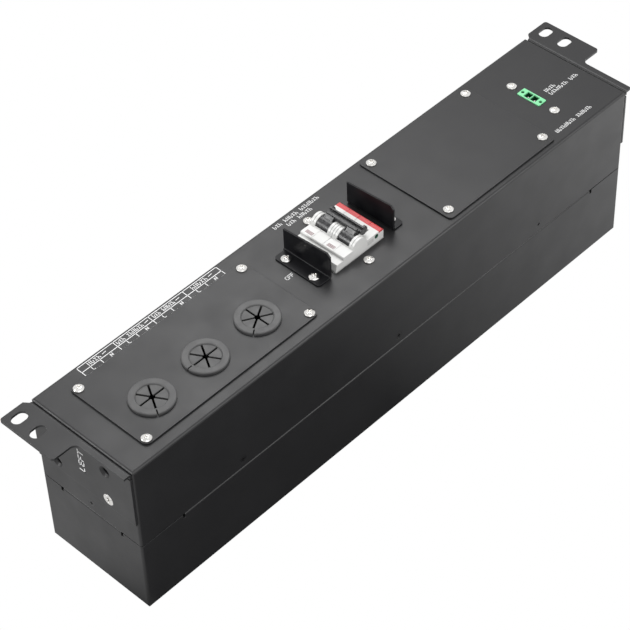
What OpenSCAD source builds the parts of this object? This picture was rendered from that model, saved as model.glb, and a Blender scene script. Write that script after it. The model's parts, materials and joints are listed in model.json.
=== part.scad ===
// Two-unit rack box that feeds a UPS: cable entry, bypass switch and input breaker on one panel.
// It lies on its rear cover. +X runs along the box, +Y to the edge with the rack ears,
// +Z out of the panel. The origin is on the rear face, under the middle of the whole part.

/* [Case] */
// Length of the box between its end faces
case_length = 437.5; // [430:0.5:445]
// Width of the panel, across the box
case_width = 84.6; // [80:0.1:88]
// Depth of the box from rear face to panel face
case_depth = 120; // [110:1:140]
// Height of the rear cover, up to the joint with the top cover
rear_depth = 56; // [50:1:60]
// Sheet thickness of the case and its plates
sheet = 1.2; // [1:0.1:1.5]
// Outside radius of the folded edges
fold_r = 1.8; // [1.5:0.1:2.5]
// Gap between the two halves of the case
case_gap = 0.8; // [0.4:0.1:1.2]

/* [Rack ears] */
// Width over both ears, from EIA-310
rack_width = 482.6; // [480:0.1:484]
// Distance between slot centres across the rack, from EIA-310
rack_slot_span = 465.1; // [464:0.1:466]
// Distance between the two slots of an ear, from EIA-310
rack_slot_pitch = 15.875; // [15:0.005:16]
// Length of a rack slot
rack_slot_length = 10.8; // [10:0.1:12]
// Width of a rack slot
rack_slot_width = 7.4; // [6.6:0.1:8]
// How far the ears pass the back edge of the panel
ear_proud = 1.2; // [0.6:0.1:1.5]
// Length of an ear along the edge of the rack
ear_height = 45.3; // [43:0.1:46]
// Sheet thickness of the ear brackets
ear_sheet = 1.6; // [1.5:0.1:2]
// Height of the bracket leg on the end of the case
ear_leg = 44; // [40:1:48]

/* [Cable entry] */
// Length of the cable plate
cable_plate_length = 140.3; // [136:0.1:142]
// Width of the cable plate
cable_plate_width = 64.8; // [60:0.1:66]
// Distance between grommets
grommet_pitch = 42.6; // [40:0.1:44]
// Outside diameter of a grommet
grommet_d = 28.6; // [27:0.1:30]
// Diameter of the split membrane
membrane_d = 21; // [19:0.1:21.4]

/* [Breaker] */
// Width of one pole
pole_width = 17.7; // [17.5:0.1:18]
// Length of the nose that shows through the panel
nose_length = 42.2; // [41:0.1:45]
// Height of the nose above the panel
nose_height = 7.2; // [6.5:0.1:9]
// Lean of the toggles when they are on
toggle_lean = 40; // [35:1:42]

/* [Toggle guards] */
// Height of a guard above the panel at its front end
guard_height = 19.7; // [15:0.1:22]
// Height of a guard above the panel at its back end
guard_back_height = 17; // [15:0.1:22]
// Length of a guard
guard_length = 38.5; // [36:0.1:40]

/* [Switch bay] */
// Length of the cover plate over the bypass switch
cover_plate_length = 100.5; // [98:0.1:102]
// Width of the cover plate over the bypass switch
cover_plate_width = 77.5; // [74:0.1:80]
// Depth of the bay floor below the panel face
bay_depth = 30; // [28:1:32]

/* [Control socket] */
// Length of the two-way socket
socket_length = 18.4; // [17:0.1:20]
// Width of the two-way socket
socket_width = 7.4; // [7:0.1:8]

/* [Fasteners] */
// Head diameter of the panel screws
pan_head_d = 6.6; // [6:0.1:7]
// Thread diameter of the panel screws
pan_thread_d = 3.8; // [3:0.1:4]
// Head diameter of the countersunk ear screws
csk_head_d = 8; // [7.5:0.1:8.4]

/* [Hidden] */
$fn = 48;
e = 0.01;                                    // overlap that keeps cuts clean
fit = 0.05;                                  // radial clearance of pins and threads

x_end = case_length / 2;
y_front = -(case_width + ear_proud) / 2;     // the ears pass the back edge only
y_back = y_front + case_width;
panel_z = case_depth;
under_z = panel_z - sheet;                   // underside of the panel
split_low = rear_depth - case_gap / 2;
split_high = rear_depth + case_gap / 2;

// rack ears
ear_tip = rack_width / 2;
ear_back = y_back + ear_proud;
ear_front = ear_back - ear_height;
ear_lip = x_end + 5.75;                      // edge of the narrow lip beside the ear
ear_bend = 2.2;
slot_y = [y_back - 6.35, y_back - 6.35 - rack_slot_pitch];
leg_front = y_front + 0.5;
leg_back = y_back - 2;
leg_screws = [[-20.1, panel_z - 38.3], [22.9, panel_z - 14.5]];
leg_spares = [[-20.1, panel_z - 14.5], [22.9, panel_z - 38.3]];
ear_hole_d = 5.2;                            // holes of the ear screws in the ends of the case
pan_hole_r = pan_thread_d / 2 + 0.2;         // clearance holes of the panel screws

// joint between the covers
flange_front = [-185, 188];                  // stretch of the long sides with a flange
flange_end = [-26.2, 25];                    // stretch of the ends with a flange
flange_top = 69;
side_screw_x = [-136.1, 0, 134.2];
side_screw_z = 62.5;
end_screw_y = -1.4;
case_screw_d = 3;
case_screw_head_d = 5.2;
flange_root = 6;                             // how far the flanges reach below the joint

// cable plate
plate_low = [-199.7, -34.4];
plate_high = plate_low + [cable_plate_length, cable_plate_width];
plate_screws = [for (x = [plate_low.x + 3.9, plate_high.x - 4.6],
                     y = [plate_low.y + 3.9, plate_high.y - 4.6]) [x, y]];
cable_window = [[-189, -26], [-71, 21.5]];
grommet_y = -10.6;
grommet_x = [for (i = [0:2]) -172.6 + i * grommet_pitch];
grommet_turn = [0, 0, 30];                   // direction of the first slit
grommet_split = [-120, 180, -145];           // where the rim is cut
grommet_hole_r = grommet_d / 2 - 2.1;
plate_top = panel_z + sheet;

// breaker
nose_x = [14.2 - nose_length, 14.2];
pole_y = [-17.7, -17.7 + pole_width + 0.2];  // near face of each pole
front_z = panel_z + nose_height;
shelf_z = panel_z + 5.2;                     // lower step at the end of the nose
front_x = -21.2;                             // edge of the front face towards the shelf
shoulder_z = 113.4;
rail_z = 67.6;                               // face of the DIN rail
rail_depth = 7.5;
rail_sheet = 1;
rail_screw_r = 2.5;
pole_x = [-51.4, 35.6];
pole_base = rail_z + 0.4;
clamp_x = [pole_x[0] + 6.5, pole_x[1] - 6.5]; // wire clamps of a pole
entry_z = 88.5;                              // height of the wires into a pole
pivot = [-6.7, 0, front_z - 0.8];            // hinge of the toggles
cheek_w = 3.8;                               // round cheeks beside each toggle
cheek_r = 6.1;
drum_r = 5.5;                                // barrel of a toggle
toggle_pin_r = 1.5;
drum_w = pole_width - 2 * cheek_w - 0.4;
tie_cheek = 1.4;                             // discs at the ends of the tie bar
tie_disc_r = 3.1;
tie_z = [pivot.z + 4.5, pivot.z + 8.6];      // underside and top of the tie bar
grip_x = [-3.2, 1.6];                        // finger grip, back and front faces
grip_tip = 7.4;                              // reach of the finger grip from the pivot
tie_x = [pivot.x + 2.4, pivot.x + 8.4];
trough_x = [-0.5, 7.2];
trough_in = 5.5;                             // solid wall left at the outer side of a pole
case_wall = 1.5;
rail_x = (pole_x[0] + pole_x[1]) / 2;
rail_screw_y = [-8, 9];
clip_y = pole_width / 2;
arm_pivot = [-4, 0, 92];                     // hinge of the moving contacts
arm_pin_r = 1.5;
window_x = 8;                                // round status window in the side of the nose
window_r = 1.5;
coil_r = 6;
coil_length = 16;
chute_count = 8;                             // splitter plates of a pole
chute_pitch = 1.9;
bracket_screws_at = [[-6.8, -25.2], [-6.3, 25.6]];
bracket_leg_y = [-21.8, 20.2];               // near faces of the two legs of the strap

// guards: wall face towards the breaker, and direction of the foot
guard_left_x = -32.9;
guard_left_foot = 10;
guard_left_screw = 6.2;                      // from the wall to the screws
guard_right_x = 21.8;
guard_right_foot = 8.4;
guard_right_screw = 4.1;
guard_front = -19;
guard_corner = 2.5;                          // clipped front corner
guard_fold_r = 1.8;
guard_screw_y = [-11.6, 11.7];
guard_screws_at = [for (y = guard_screw_y,
    x = [guard_left_x - sheet - guard_left_screw, guard_right_x + sheet + guard_right_screw]) [x, y]];

// switch bay
cover_low = [52.2, -38.7];
cover_high = cover_low + [cover_plate_length, cover_plate_width];
cover_mid = (cover_low + cover_high) / 2;
cover_screws = [for (x = [-45, 45], y = [-32.1, 32.1]) cover_mid + [x, y]];
bay_half = [40, 26];                         // half size of the window in the panel
bay_z = panel_z - bay_depth;                 // top of the bay floor
shaft_r = 4;
cell_h = 9;                                  // height of one contact cell
cell_gap = 1.2;                              // groove between two cells
cell_count = 4;
cells_z = bay_z - sheet - cell_count * cell_h;
switch_half = 22.5;
knob_r = 17;
micro_at = [cover_mid.x + bay_half.x - 7, 14];
micro_screw_y = [micro_at.y - 5, micro_at.y + 5];
micro_screw_z = 104;
micro_screw_r = 1.25;
plunger_r = 1.6;

// control socket
socket_at = [174.3, -0.9];
socket_screws = [[174, 15.6], [173.8, -20.3]];
pin_offset = 2.55;                           // from the middle of the socket to each pin
pin_half = 0.5;
board_z = [111.2, 112.8];

// terminal block
term_n = 8;
term_pitch = 14.05;
term_x0 = -185.6;
term_y = [-1, 26];
term_z = [73.2, 97];
term_rows = [5, 19];
term_body = 12;                              // height of the strip under the bars
term_screw_r = 2;
wire_r = 2.3;
earth_at = [-205, 0];
stud_r = 2.9;
nut_z = [6, 12.5];                           // undersides of the earth nuts
nut_h = 5;

black = [0.09, 0.09, 0.10];
rubber = [0.16, 0.16, 0.17];
white = [0.93, 0.93, 0.92];
silver = [0.78, 0.78, 0.80];
brass = [0.80, 0.65, 0.30];
copper = [0.80, 0.45, 0.25];
grey = [0.35, 0.36, 0.38];
green = [0.15, 0.72, 0.35];

// ---- shared shapes -------------------------------------------------------------------

// Rectangle between two corners, with round corners
module round_rect(low, high, r) {
    translate(low + [r, 0]) square([high.x - low.x - 2 * r, high.y - low.y]);
    translate(low + [0, r]) square([high.x - low.x, high.y - low.y - 2 * r]);
    for (x = [low.x + r, high.x - r], y = [low.y + r, high.y - r])
        translate([x, y]) circle(r);
}

// Flat plate with round corners, standing on height z
module plate(low, high, r, z, t) {
    translate([0, 0, z]) linear_extrude(t) round_rect(low, high, r);
}

// Box between two corners
module block(low, high) {
    translate(low) cube(high - low);
}

// Box whose long edges and closed end are folded with radius r; the other end is left square
module folded_box(inset, z0, z1, r, closed_up) {
    low = [-x_end + inset, y_front + inset];
    high = [x_end - inset, y_back - inset];
    za = closed_up ? z0 - 2 * r : z0;
    zb = closed_up ? z1 : z1 + 2 * r;
    intersection() {
        translate([0, 0, z0]) linear_extrude(z1 - z0) round_rect(low, high, r);
        translate([-x_end, 0, 0]) rotate([90, 0, 90]) linear_extrude(case_length)
            round_rect([low.y, za], [high.y, zb], r);
        translate([0, y_back, 0]) rotate([90, 0, 0]) linear_extrude(case_width)
            round_rect([low.x, za], [high.x, zb], r);
    }
}

// Upright square post around the origin
module square_post(half, z0, z1) {
    block([-half, -half, z0], [half, half, z1]);
}

// Hole along Z through a plate
module drill(at, r, z0, z1) {
    translate([at.x, at.y, z0]) cylinder(h = z1 - z0, r = r);
}

// Cross recess cut in a screw head whose top is at z = 0
module cross_recess(size) {
    for (a = [0, 90]) rotate(a)
        translate([-size / 2, -size / 8, -size / 3]) cube([size, size / 4, size]);
}

// Pan-head screw: head stands on z = 0, thread points down
module pan_screw(length) {
    head_h = 2.1;
    dome_r = 5.2;
    difference() {
        union() {
            cylinder(h = 0.7, d = pan_head_d);
            intersection() {
                translate([0, 0, head_h - dome_r]) sphere(dome_r);
                cylinder(h = head_h, d = pan_head_d);
            }
        }
        translate([0, 0, head_h]) cross_recess(3.6);
    }
    translate([0, 0, -length]) cylinder(h = length + e, d = pan_thread_d);
}

// Countersunk screw: head is flush with z = 0, thread points down
module csk_screw(head_d, thread_d, length) {
    cone_h = (head_d - thread_d) / 2;
    difference() {
        translate([0, 0, -cone_h]) cylinder(h = cone_h, d1 = thread_d, d2 = head_d);
        cross_recess(head_d * 0.5);
    }
    translate([0, 0, -length]) cylinder(h = length - cone_h + e, d = thread_d);
}

// Countersunk hole to match, cut downwards from z = 0
module csk_hole(head_d, thread_d, depth) {
    cone_h = (head_d - thread_d) / 2;
    translate([0, 0, -cone_h]) cylinder(h = cone_h + e, d1 = thread_d, d2 = head_d + 2 * e);
    translate([0, 0, -depth]) cylinder(h = depth, d = thread_d);
}

// Round clinch nut under a sheet whose lower face is at z = 0
module press_nut(thread_d) {
    difference() {
        translate([0, 0, -2]) cylinder(h = 2, d = thread_d + 2.6);
        translate([0, 0, -2 - e]) cylinder(h = 2 + 2 * e, d = thread_d + 2 * fit);
    }
}

// Turns a shape that points along +Z so that it points out of a face of the case
module on_left(at) { translate([-x_end, at.x, at.y]) rotate([0, -90, 0]) children(); }
module on_right(at) { translate([x_end, at.x, at.y]) rotate([0, 90, 0]) children(); }
module on_front(at) { translate([at.x, y_front, at.y]) rotate([90, 0, 0]) children(); }
module on_back(at) { translate([at.x, y_back, at.y]) rotate([-90, 0, 0]) children(); }

// Places a child at every screw of the joint between the covers
module at_case_screws() {
    for (x = side_screw_x) {
        on_front([x, side_screw_z]) children();
        on_back([x, side_screw_z]) children();
    }
    on_left([end_screw_y, side_screw_z]) children();
    on_right([end_screw_y, side_screw_z]) children();
}

// Places a child at every screw that holds something on the panel, head side up
module at_panel_screws(points) {
    for (p = points) translate([p.x, p.y, 0]) children();
}

// ---- case ----------------------------------------------------------------------------

module top_cover() color(black) difference() {
    folded_box(0, split_high, panel_z, fold_r, true);
    folded_box(sheet, split_high - e, under_z, fold_r - sheet, true);
    // windows under the cable plate and the switch cover
    plate(cable_window[0], cable_window[1], 4, under_z - e, sheet + 2 * e);
    plate(cover_mid - bay_half, cover_mid + bay_half, 4, under_z - e, sheet + 2 * e);
    // breaker nose and control socket
    plate([nose_x[0] - 0.7, pole_y[0] - 0.7], [nose_x[1] + 0.7, pole_y[1] + pole_width + 0.7],
        0.8, under_z - e, sheet + 2 * e);
    plate(socket_at - [socket_width, socket_length] / 2 - [0.3, 0.3],
        socket_at + [socket_width, socket_length] / 2 + [0.3, 0.3], 0.4, under_z - e, sheet + 2 * e);
    for (p = concat(plate_screws, cover_screws, bracket_screws_at, socket_screws, guard_screws_at))
        drill(p, pan_hole_r, under_z - 1, panel_z + 1);
    for (p = concat(leg_screws, leg_spares)) {
        on_left(p) translate([0, 0, -3]) cylinder(h = 4, d = ear_hole_d);
        on_right(p) translate([0, 0, -3]) cylinder(h = 4, d = ear_hole_d);
    }
    at_case_screws() csk_hole(case_screw_head_d + 0.2, case_screw_d + 0.2, 3);
}

// Stretch of rim between two corners, rolled over with radius r along its outer edge
module rim_round(length, r) {
    rotate([90, 0, 90]) linear_extrude(length) difference() {
        translate([-1, -r]) square([1 + r, r + 1]);
        translate([r, -r]) circle(r);
        translate([r, -3 * r]) square([3 * r, 3 * r]);
    }
}

module rear_cover() color(black) {
    mid = flange_front[0];
    run = flange_front[1] - flange_front[0];
    end_run = flange_end[1] - flange_end[0];
    step = sheet + 0.1;
    difference() {
        folded_box(0, 0, split_low, fold_r, false);
        folded_box(sheet, sheet, split_low + e, fold_r - sheet, false);
        // rolled shoulders of the four flanges
        translate([mid, y_front, split_low]) rim_round(run, sheet);
        translate([mid + run, y_back, split_low]) rotate(180) rim_round(run, sheet);
        translate([-x_end, flange_end[1], split_low]) rotate(-90) rim_round(end_run, sheet);
        translate([x_end, flange_end[0], split_low]) rotate(90) rim_round(end_run, sheet);
        // corner reliefs at both ends of each long flange
        for (x = flange_front, y = [y_front, y_back])
            block([x - 1, y - 2, split_low - 3], [x + 1, y + 2, split_low + 1]);
        for (y = flange_end, x = [-x_end, x_end])
            block([x - 2, y - 1, split_low - 3], [x + 2, y + 1, split_low + 1]);
        // hole of the earth stud
        drill(earth_at, stud_r + fit, -1, sheet + 1);
    }
    // flanges that stand up inside the top cover, with the threads of the case screws
    difference() {
        union() {
            for (y = [y_front + step, y_back - step - sheet]) {
                block([mid + 1, y, split_low - flange_root], [mid + run - 1, y + sheet, flange_top]);
                block([mid + 1, y - 0.2, split_low - flange_root],
                    [mid + run - 1, y + sheet + 0.2, split_low - 1.2]);
            }
            for (x = [-x_end + step, x_end - step - sheet]) {
                block([x, flange_end[0] + 1, split_low - flange_root],
                    [x + sheet, flange_end[1] - 1, flange_top]);
                block([x - 0.2, flange_end[0] + 1, split_low - flange_root],
                    [x + sheet + 0.2, flange_end[1] - 1, split_low - 1.2]);
            }
        }
        at_case_screws() translate([0, 0, -4]) cylinder(h = 5, r = case_screw_d / 2 + fit);
    }
}

// Bracket at the left end: leg on the case, lip along it and a one-unit ear with two slots
module ear_bracket() color(black) difference() {
    union() {
        // leg and folded lip, one profile along Y
        translate([0, leg_back, 0]) rotate([90, 0, 0]) linear_extrude(leg_back - leg_front)
            difference() {
                union() {
                    translate([-x_end - ear_sheet, panel_z - ear_leg])
                        square([ear_sheet, ear_leg - ear_bend]);
                    translate([-ear_lip, panel_z - ear_sheet])
                        square([ear_lip - x_end - ear_bend, ear_sheet]);
                    translate([-x_end - ear_bend, panel_z - ear_bend]) circle(ear_bend);
                }
                translate([-x_end - ear_bend, panel_z - ear_bend]) circle(ear_bend - ear_sheet);
                translate([-x_end - 2 * ear_bend, panel_z - 2 * ear_bend])
                    square([2 * ear_bend - ear_sheet, 2 * ear_bend - ear_sheet]);
            }
        // ear
        translate([0, 0, panel_z - ear_sheet]) linear_extrude(ear_sheet) difference() {
            union() {
                round_rect([-ear_tip, ear_front], [-ear_lip + 2, ear_back], 2);
                translate([-ear_lip - 4, ear_front - 4]) square([6, ear_height - 6]);
                polygon([[-ear_lip, ear_back], [-ear_lip + 1, ear_back], [-x_end - 2.2, leg_back],
                    [-x_end - 2.2, ear_front], [-ear_lip, ear_front]]);
            }
            translate([-ear_lip - 4, ear_front - 4]) circle(4);
            translate([-ear_tip - 1, ear_front - 9]) square([ear_tip - ear_lip - 3, 9]);
            for (y = slot_y) slot_shape([-rack_slot_span / 2, y]);
        }
    }
    // relief where the lip ends
    block([-x_end - ear_bend - 0.2, leg_front - 1, panel_z - ear_bend - 2.6],
        [-x_end + 1, leg_front + 3.2, panel_z - ear_bend - 1.2]);
    for (p = concat(leg_screws, leg_spares))
        on_left(p) translate([0, 0, ear_sheet]) csk_hole(csk_head_d + 0.4, 4.2, 4);
}

// Slot along X with round ends, as a flat shape
module slot_shape(at) {
    half = (rack_slot_length - rack_slot_width) / 2;
    translate(at) {
        for (s = [-half, half]) translate([s, 0]) circle(d = rack_slot_width);
        translate([-half, -rack_slot_width / 2]) square([2 * half, rack_slot_width]);
    }
}

module ear_screws() color(silver) for (p = leg_screws) {
    on_left(p) translate([0, 0, ear_sheet]) csk_screw(csk_head_d, 4, 8);
    on_right(p) translate([0, 0, ear_sheet]) csk_screw(csk_head_d, 4, 8);
}

module case_screws() color(black) at_case_screws() csk_screw(case_screw_head_d, case_screw_d, 6);

module press_nuts() color(silver) {
    for (p = concat(plate_screws, guard_screws_at))
        translate([p.x, p.y, under_z]) press_nut(pan_thread_d);
    for (p = concat(cover_screws, bracket_screws_at))
        translate([p.x, p.y, under_z - sheet]) press_nut(pan_thread_d);
    for (p = leg_screws) {
        on_left(p) translate([0, 0, -sheet]) press_nut(4);
        on_right(p) translate([0, 0, -sheet]) press_nut(4);
    }
}

// ---- cable entry ---------------------------------------------------------------------

module cable_plate() color(black) difference() {
    plate(plate_low, plate_high, 4, panel_z, sheet);
    for (x = grommet_x) drill([x, grommet_y], grommet_hole_r, panel_z - 1, plate_top + 1);
    for (p = plate_screws) drill(p, pan_hole_r, panel_z - 1, plate_top + 1);
}

module cable_plate_screws() color(silver)
    at_panel_screws(plate_screws) translate([0, 0, plate_top]) pan_screw(5.5);

// Rubber grommet in the cable plate: flanged rim and a membrane slit into six petals
module grommet(i) color(rubber) translate([grommet_x[i], grommet_y, 0]) difference() {
    rim_r = grommet_d / 2;
    rotate_extrude($fn = 72) {
        round_rect([membrane_d / 2 - 1, plate_top], [rim_r, plate_top + 2], 0.8);
        translate([membrane_d / 2, plate_top]) square([rim_r - membrane_d / 2 - 0.01, 0.9]);
        translate([membrane_d / 2, panel_z - 1.5])
            square([grommet_hole_r - membrane_d / 2 - 0.05, sheet + 2.4]);
        round_rect([membrane_d / 2, panel_z - 1.6], [rim_r - 0.6, panel_z], 0.4);
        translate([0, plate_top + 0.3]) square([membrane_d / 2 + 0.5, 0.9]);
    }
    for (a = [0, 60, 120]) rotate(grommet_turn[i] + a)
        translate([-9.5, -0.65, panel_z - 2]) cube([19, 1.3, 6]);
    drill([0, 0], 1.9, panel_z - 2, plate_top + 4);
    rotate(grommet_split[i]) translate([membrane_d / 2 + 0.4, -0.4, panel_z - 2]) cube([6, 0.8, 6]);
}

// ---- breaker -------------------------------------------------------------------------

// Outline of a pole seen from its side, in X and Z
module pole_outline() {
    polygon([[pole_x[0], pole_base], [pole_x[0], shoulder_z], [nose_x[0], shoulder_z],
        [nose_x[0], panel_z + 0.5], [nose_x[0] + 1.2, shelf_z], [front_x, shelf_z],
        [front_x, front_z - 0.5], [front_x + 0.5, front_z], [nose_x[1] - 0.8, front_z],
        [nose_x[1], front_z - 0.8], [nose_x[1], shoulder_z], [pole_x[1], shoulder_z],
        [pole_x[1], pole_base]]);
}

// Stretch of a pole across Y, from a to b in the pole's own width
module pole_slab(a, b) {
    translate([0, b, 0]) rotate([90, 0, 0]) linear_extrude(b - a) children();
}

// One half shell of a pole; the trough for the tie bar stays inside the outer wall
module pole_case(pole, half) color(white) translate([0, pole_y[pole], 0]) {
    mid = pole_width / 2;
    a = half == 0 ? 0 : mid + 0.05;
    b = half == 0 ? mid - 0.05 : pole_width;
    inner = half == 0 ? [case_wall, mid] : [mid, pole_width - case_wall];
    trough = pole == 0 ? [trough_in, pole_width + 1] : [-1, pole_width - trough_in];
    difference() {
        union() {
            pole_slab(a, b) pole_outline();
            pole_slab(a, b) translate([pivot.x, pivot.z]) circle(cheek_r);
            // hook that holds the fixed side of the rail
            block([rail_x + 17.8, a, rail_z - 3.4], [rail_x + 22, b, pole_base + e]);
            block([rail_x + 15.5, a, rail_z - 3.4], [rail_x + 18, b, rail_z - 1.3]);
        }
        // room for the mechanism
        block([pole_x[0] + 12, inner[0], pole_base + 4], [pole_x[1] - 12, inner[1], shoulder_z - 4]);
        block([pivot.x - 9, cheek_w, shoulder_z - 5], [pivot.x + 9, pole_width - cheek_w, front_z - 9]);
        // barrel that the toggle turns in
        translate([pivot.x, pole_width - cheek_w, pivot.z]) rotate([90, 0, 0])
            cylinder(h = pole_width - 2 * cheek_w, r = drum_r + 0.3);
        block([pivot.x - drum_r - 0.3, cheek_w, pivot.z],
            [pivot.x + drum_r + 0.3, pole_width - cheek_w, pivot.z + 12]);
        translate([pivot.x, pole_width - 1.6, pivot.z]) rotate([90, 0, 0])
            cylinder(h = pole_width - 3.2, r = toggle_pin_r + fit);
        block([trough_x[0], trough[0], shelf_z], [trough_x[1], trough[1], front_z + 1]);
        // terminal pockets, screw wells and wire entries at both ends
        for (x = clamp_x) {
            block([x - 4.5, 4, 84], [x + 4.5, pole_width - 4, 100]);
            drill([x, mid], 3.2, 99, shoulder_z + 1);
        }
        for (x = [pole_x[0] - 1, pole_x[1] - 3])
            translate([x, mid, entry_z]) rotate([0, 90, 0]) cylinder(h = 4, r = 3.4);
        // channel of the sliding rail clip
        block([pole_x[0] - 1, clip_y - 3.2, pole_base - 1], [rail_x - 12, clip_y + 3.2, pole_base + 2.2]);
        // pivot of the moving contact
        translate([arm_pivot.x, pole_width - 0.8, arm_pivot.z]) rotate([90, 0, 0])
            cylinder(h = pole_width - 1.6, r = arm_pin_r + fit);
        // status window
        translate([window_x, pole == 0 ? 0.4 : -1, shelf_z - 0.3]) rotate([90, 0, 0])
            cylinder(h = 1.4, r = window_r);
    }
}

// Places a child at the pivot of the toggles, leaning as they do when on
module at_pivot() translate(pivot) rotate([0, toggle_lean, 0]) children();

// Flat finger grip of a toggle, drawn larger by grow where it leaves a pocket
module toggle_grip(grow = 0)
    block([grip_x[0] - grow, -drum_w / 2 + tie_cheek - grow, 0],
        [grip_x[1] + grow, drum_w / 2 - tie_cheek + grow, grip_tip + grow]);

module toggle(pole) color(black) translate([0, pole_y[pole] + pole_width / 2, 0]) at_pivot() {
    rotate([90, 0, 0]) translate([0, 0, -drum_w / 2]) cylinder(h = drum_w, r = drum_r);
    rotate([90, 0, 0]) translate([0, 0, -drum_w / 2 - 2]) cylinder(h = drum_w + 4, r = toggle_pin_r);
    toggle_grip();
}

// Grooved bar across both toggles, with a round cheek at each end
module toggle_tie_bar() color(black) {
    y0 = pole_y[0] + cheek_w + 0.2;
    y1 = pole_y[1] + pole_width - cheek_w - 0.2;
    top = tie_z[1];
    difference() {
        union() {
            block([tie_x[0], y0 + tie_cheek, tie_z[0]], [tie_x[1], y1 - tie_cheek, top]);
            for (y = [y0, y1 - tie_cheek]) translate([tie_x[1] - 0.4, y + tie_cheek, tie_z[0] + 0.7])
                rotate([90, 0, 0]) cylinder(h = tie_cheek, r = tie_disc_r);
        }
        // groove behind the front strip, and the lower ridge behind it
        block([tie_x[0] + 2, y0, top - 2.2], [tie_x[1] - 1.1, y1, top + 1]);
        block([tie_x[1] - 2, y0, top - 0.7], [tie_x[1] + 1, y1, top + 1]);
        // pockets for the tips of both toggles
        for (y = pole_y) translate([0, y + pole_width / 2, 0]) at_pivot() toggle_grip(fit);
        // clears the barrels, and the fins between the toggles
        translate([pivot.x, y1 + 1, pivot.z]) rotate([90, 0, 0])
            cylinder(h = y1 - y0 + 2, r = drum_r + 0.1);
        translate([pivot.x, pole_y[1] + cheek_w, pivot.z]) rotate([90, 0, 0])
            cylinder(h = 2 * cheek_w + 0.2, r = cheek_r + 0.5);
    }
}

// Both moving contact arms, each on its own shaft
module contact_arms() color(copper) for (y = pole_y) translate([0, y + pole_width / 2, 0]) {
    translate([arm_pivot.x, 0, arm_pivot.z]) {
        rotate([90, 0, 0]) translate([0, 0, -7.6]) cylinder(h = 15.2, r = arm_pin_r);
        rotate([90, 0, 0]) translate([0, 0, -1.5]) cylinder(h = 3, r = 3);
        block([-2, -1.5, -14], [0.8, 1.5, 0]);
        block([-3.2, -1.5, -14], [-1.9, 1.5, -11]);
    }
}

module fixed_contacts() color(copper) for (y = pole_y) translate([0, y + pole_width / 2, 0]) {
    block([arm_pivot.x - 4.5, -3, 74], [arm_pivot.x - 3.25, 3, 84]);
    block([pole_x[0] + 12, -3, 74], [arm_pivot.x - 4.5 + e, 3, 75.2]);
}

// Stack of splitter plates that breaks up the arc
module arc_chutes() color(silver) for (y = pole_y, k = [0 : chute_count - 1])
    translate([0, 0, k * chute_pitch])
        block([-36, y + 3, 76.5], [-18, y + pole_width - 3, 77.3]);

// Magnet coils of the trip units
module trip_coils() color(copper) for (y = pole_y)
    translate([5, y + pole_width / 2, 82]) rotate([0, 90, 0]) difference() {
        cylinder(h = coil_length, r = coil_r);
        translate([0, 0, -1]) cylinder(h = coil_length + 2, r = 2.5);
        // grooves between the turns
        for (k = [0 : coil_length / 2 - 1]) translate([0, 0, 0.6 + 2 * k]) difference() {
            cylinder(h = 0.8, r = coil_r + 1);
            translate([0, 0, -1]) cylinder(h = 3, r = coil_r - 0.7);
        }
    }

// Wire clamps in the terminal pockets
module breaker_clamps() color(brass)
    for (y = pole_y, x = clamp_x) translate([x, y + pole_width / 2, 0])
        difference() {
            block([-4.2, -4.6, 84.3], [4.2, 4.6, 98.5]);
            block([-5, -3.4, 85.6], [5, 3.4, 94]);
            drill([0, 0], 2.5 + fit, 93, 99);
        }

module breaker_clamp_screws() color(silver)
    for (y = pole_y, x = clamp_x)
        translate([x, y + pole_width / 2, 101]) difference() {
            union() {
                cylinder(h = 2.6, r = 3);
                translate([0, 0, -9]) cylinder(h = 9 + e, r = 2.5);
            }
            translate([0, 0, 2.6]) cross_recess(3.4);
        }

// Sliding clip that holds a pole on the rail
module rail_clip(pole) color(black) translate([0, pole_y[pole] + clip_y, 0]) {
    block([pole_x[0] - 2.5, -3, rail_z + 0.5], [rail_x - 17.8, 3, pole_base + 2]);
    block([rail_x - 20.6, -3, rail_z - 3.2], [rail_x - 17.8, 3, rail_z + 0.6]);
    block([rail_x - 17.9, -3, rail_z - 3.2], [rail_x - 15.8, 3, rail_z - 1.3]);
}

// Top-hat rail across the box, 35 mm by 7.5 mm
module din_rail() color(silver) difference() {
    y0 = pole_y[0] - 1.5;
    y1 = pole_y[1] + pole_width + 1.5;
    floor_z = rail_z - rail_depth;
    union() {
        block([rail_x - 13.5, y0, floor_z], [rail_x + 13.5, y1, floor_z + rail_sheet]);
        for (s = [-1, 1]) {
            block([rail_x + s * 13 - 0.5, y0, floor_z], [rail_x + s * 13 + 0.5, y1, rail_z]);
            block([rail_x + s * 15.25 - 2.25, y0, rail_z - rail_sheet],
                [rail_x + s * 15.25 + 2.25, y1, rail_z]);
        }
    }
    for (y = rail_screw_y) drill([rail_x, y], rail_screw_r + 0.1, floor_z - 1, rail_z);
}

// Strap that hangs from the panel and carries the rail
module breaker_bracket() color(silver) {
    low = rail_z - rail_depth - sheet;
    xs = [-18, 4];
    difference() {
        union() {
            block([xs[0], -30, under_z - sheet], [xs[1], bracket_leg_y[0] + sheet, under_z]);
            block([xs[0], bracket_leg_y[1], under_z - sheet], [xs[1], 30, under_z]);
            for (y = bracket_leg_y) block([xs[0], y, low], [xs[1], y + sheet, under_z]);
            block([xs[0], bracket_leg_y[0], low], [xs[1], bracket_leg_y[1] + sheet, low + sheet]);
        }
        for (p = bracket_screws_at) drill(p, pan_hole_r, under_z - 3, under_z + 1);
        for (y = rail_screw_y) drill([rail_x, y], rail_screw_r + 0.1, low - 1, low + 3);
    }
}

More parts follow.
